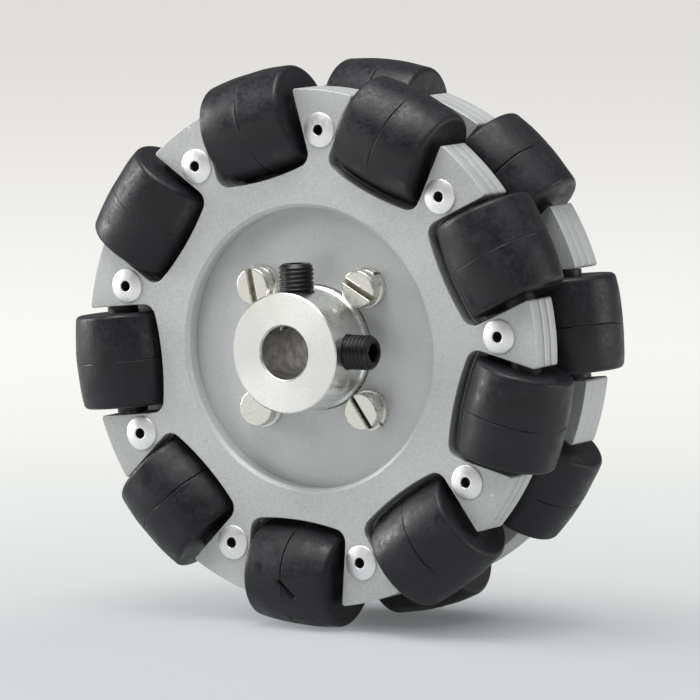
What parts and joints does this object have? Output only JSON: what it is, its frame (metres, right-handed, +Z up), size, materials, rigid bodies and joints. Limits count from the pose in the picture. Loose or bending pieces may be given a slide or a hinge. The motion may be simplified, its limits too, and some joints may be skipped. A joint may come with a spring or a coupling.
{
  "type": "omni wheel",
  "caption": "Double-row omni wheel: crowned rubber rollers on pins in riveted aluminium plates, on a bored hub gripped by set screws.",
  "frame": {"origin": "wheel's centre: on the axis of the hub's bore, midway between the two rows of rollers", "axes": "-Y out of the hub's nose along the bore, +Z up, +X to the right seen from the nose"},
  "size_m": [0.127, 0.0506, 0.127],
  "materials": {
    "plates": "matte",
    "hub": "satin",
    "plated_steel": "satin",
    "black_steel": "satin",
    "rivets": "satin",
    "pins": "satin",
    "cores": "matte",
    "rubber": "satin"
  },
  "bodies": {
    "wheel": {"front_outer_plate": "plates", "front_middle_plate": "plates", "front_inner_plate": "plates", "rear_inner_plate": "plates", "rear_middle_plate": "plates", "rear_outer_plate": "plates", "hub": "hub", "hub_screws": "plated_steel", "spring_washers": "plated_steel", "hub_nuts": "plated_steel", "set_screw_top": "black_steel", "set_screw_side": "black_steel", "front_rivets": "rivets", "rear_rivets": "rivets", "front_rivet_mandrels": "pins", "rear_rivet_mandrels": "pins", "front_axle_pins": "pins", "rear_axle_pins": "pins"},
    "front_roller_1": {"front_roller_core_1": "cores", "front_roller_tyre_1": "rubber"},
    "front_roller_2": {"front_roller_core_2": "cores", "front_roller_tyre_2": "rubber"},
    "front_roller_3": {"front_roller_core_3": "cores", "front_roller_tyre_3": "rubber"},
    "front_roller_4": {"front_roller_core_4": "cores", "front_roller_tyre_4": "rubber"},
    "front_roller_5": {"front_roller_core_5": "cores", "front_roller_tyre_5": "rubber"},
    "front_roller_6": {"front_roller_core_6": "cores", "front_roller_tyre_6": "rubber"},
    "front_roller_7": {"front_roller_core_7": "cores", "front_roller_tyre_7": "rubber"},
    "front_roller_8": {"front_roller_core_8": "cores", "front_roller_tyre_8": "rubber"},
    "front_roller_9": {"front_roller_core_9": "cores", "front_roller_tyre_9": "rubber"},
    "rear_roller_1": {"rear_roller_core_1": "cores", "rear_roller_tyre_1": "rubber"},
    "rear_roller_2": {"rear_roller_core_2": "cores", "rear_roller_tyre_2": "rubber"},
    "rear_roller_3": {"rear_roller_core_3": "cores", "rear_roller_tyre_3": "rubber"},
    "rear_roller_4": {"rear_roller_core_4": "cores", "rear_roller_tyre_4": "rubber"},
    "rear_roller_5": {"rear_roller_core_5": "cores", "rear_roller_tyre_5": "rubber"},
    "rear_roller_6": {"rear_roller_core_6": "cores", "rear_roller_tyre_6": "rubber"},
    "rear_roller_7": {"rear_roller_core_7": "cores", "rear_roller_tyre_7": "rubber"},
    "rear_roller_8": {"rear_roller_core_8": "cores", "rear_roller_tyre_8": "rubber"},
    "rear_roller_9": {"rear_roller_core_9": "cores", "rear_roller_tyre_9": "rubber"}
  },
  "joints": [
    {"name": "front_roller_1_spin", "type": "hinge", "parent": "wheel", "child": "front_roller_1", "pos_m": [-0.01461, -0.01154, 0.04964], "axis": [-0.9593, 0, -0.2823], "continuous": true},
    {"name": "front_roller_2_spin", "type": "hinge", "parent": "wheel", "child": "front_roller_2", "pos_m": [0.02072, -0.01154, 0.04742], "axis": [-0.9164, 0, 0.4003], "continuous": true},
    {"name": "front_roller_3_spin", "type": "hinge", "parent": "wheel", "child": "front_roller_3", "pos_m": [0.04635, -0.01154, 0.02301], "axis": [-0.4446, 0, 0.8957], "continuous": true},
    {"name": "front_roller_4_spin", "type": "hinge", "parent": "wheel", "child": "front_roller_4", "pos_m": [0.0503, -0.01154, -0.01217], "axis": [0.2351, 0, 0.972], "continuous": true},
    {"name": "front_roller_5_spin", "type": "hinge", "parent": "wheel", "child": "front_roller_5", "pos_m": [0.03071, -0.01154, -0.04165], "axis": [0.8049, 0, 0.5934], "continuous": true},
    {"name": "front_roller_6_spin", "type": "hinge", "parent": "wheel", "child": "front_roller_6", "pos_m": [-0.00325, -0.01154, -0.05165], "axis": [0.998, 0, -0.0628], "continuous": true},
    {"name": "front_roller_7_spin", "type": "hinge", "parent": "wheel", "child": "front_roller_7", "pos_m": [-0.03569, -0.01154, -0.03748], "axis": [0.7242, 0, -0.6896], "continuous": true},
    {"name": "front_roller_8_spin", "type": "hinge", "parent": "wheel", "child": "front_roller_8", "pos_m": [-0.05143, -0.01154, -0.00577], "axis": [0.1115, 0, -0.9938], "continuous": true},
    {"name": "front_roller_9_spin", "type": "hinge", "parent": "wheel", "child": "front_roller_9", "pos_m": [-0.0431, -0.01154, 0.02864], "axis": [-0.5534, 0, -0.8329], "continuous": true},
    {"name": "rear_roller_1_spin", "type": "hinge", "parent": "wheel", "child": "rear_roller_1", "pos_m": [0.00325, 0.01154, 0.05165], "axis": [-0.998, 0, 0.0628], "continuous": true},
    {"name": "rear_roller_2_spin", "type": "hinge", "parent": "wheel", "child": "rear_roller_2", "pos_m": [0.03569, 0.01154, 0.03748], "axis": [-0.7242, 0, 0.6896], "continuous": true},
    {"name": "rear_roller_3_spin", "type": "hinge", "parent": "wheel", "child": "rear_roller_3", "pos_m": [0.05143, 0.01154, 0.00577], "axis": [-0.1115, 0, 0.9938], "continuous": true},
    {"name": "rear_roller_4_spin", "type": "hinge", "parent": "wheel", "child": "rear_roller_4", "pos_m": [0.0431, 0.01154, -0.02864], "axis": [0.5534, 0, 0.8329], "continuous": true},
    {"name": "rear_roller_5_spin", "type": "hinge", "parent": "wheel", "child": "rear_roller_5", "pos_m": [0.01461, 0.01154, -0.04964], "axis": [0.9593, 0, 0.2823], "continuous": true},
    {"name": "rear_roller_6_spin", "type": "hinge", "parent": "wheel", "child": "rear_roller_6", "pos_m": [-0.02072, 0.01154, -0.04742], "axis": [0.9164, 0, -0.4003], "continuous": true},
    {"name": "rear_roller_7_spin", "type": "hinge", "parent": "wheel", "child": "rear_roller_7", "pos_m": [-0.04635, 0.01154, -0.02301], "axis": [0.4446, 0, -0.8957], "continuous": true},
    {"name": "rear_roller_8_spin", "type": "hinge", "parent": "wheel", "child": "rear_roller_8", "pos_m": [-0.0503, 0.01154, 0.01217], "axis": [-0.2351, 0, -0.972], "continuous": true},
    {"name": "rear_roller_9_spin", "type": "hinge", "parent": "wheel", "child": "rear_roller_9", "pos_m": [-0.03071, 0.01154, 0.04165], "axis": [-0.8049, 0, -0.5934], "continuous": true}
  ]
}
